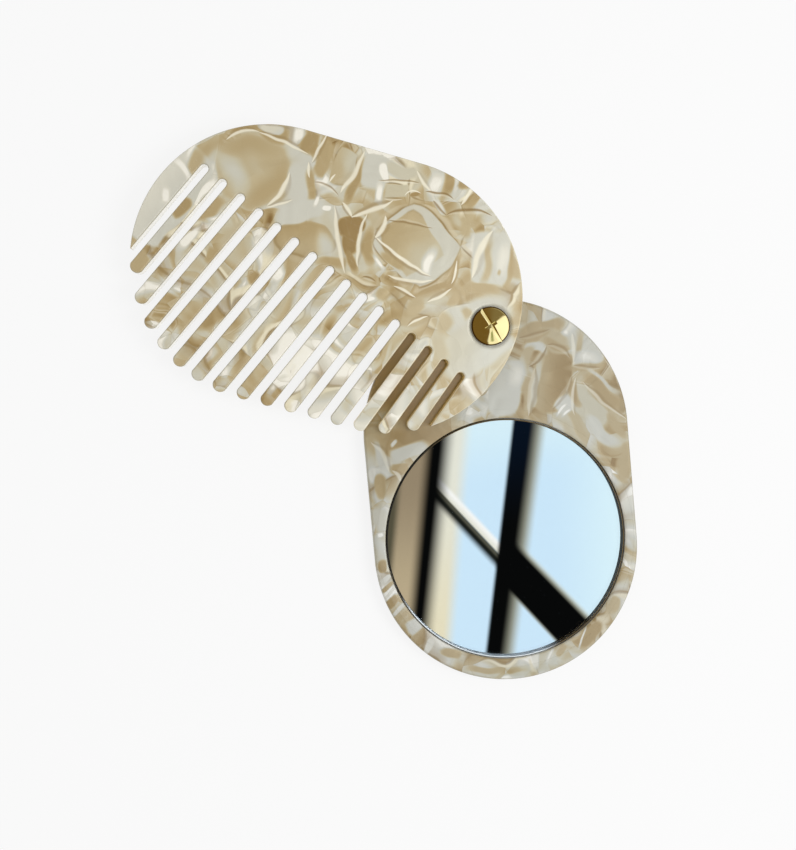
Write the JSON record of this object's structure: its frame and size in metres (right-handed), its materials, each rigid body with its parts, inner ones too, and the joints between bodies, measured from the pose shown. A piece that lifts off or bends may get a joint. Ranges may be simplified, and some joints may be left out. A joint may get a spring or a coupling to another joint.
{
  "type": "folding comb with mirror",
  "caption": "Folding pocket comb: a round-ended comb plate swings on a brass pivot out from over a matching plate with a round mirror set in it.",
  "frame": {"origin": "on the pivot axis, in the plane of the back face that the object lies on", "axes": "+Z along the pivot axis, out of the mirror's face; the mirror plate runs from the pivot towards -Y; at rest the comb plate is swung 110.6 degrees out from over the mirror, towards -X"},
  "size_m": [0.1184, 0.1416, 0.0095],
  "materials": {
    "comb_acetate": "polished pearl acetate with tan and cream marbling",
    "mirror_acetate": "polished pearl acetate with tan and cream marbling",
    "mirror_glass": "clear float glass with a fine ground bevel",
    "silver_backing": "silvered on the glass side, dark paint behind",
    "adhesive_disc": "thin foam tape",
    "screw_brass": "polished, with a turned crown",
    "spring_steel": "bright spring steel",
    "washer_nylon": "natural nylon",
    "nut_brass": "polished, with a fine turned face"
  },
  "bodies": {
    "mirror_half": {"mirror_plate": "mirror_acetate", "mirror_glass": "mirror_glass", "silver_backing": "silver_backing", "adhesive_disc": "adhesive_disc", "barrel_nut": "nut_brass", "pivot_screw": "screw_brass", "disc_spring": "spring_steel", "friction_washer": "washer_nylon"},
    "comb_half": {"comb_plate": "comb_acetate"}
  },
  "joints": [
    {"name": "comb_swing", "type": "hinge", "parent": "mirror_half", "child": "comb_half", "pos_m": [0, 0, 0.0063], "axis": [0, 0, 1], "continuous": true}
  ]
}
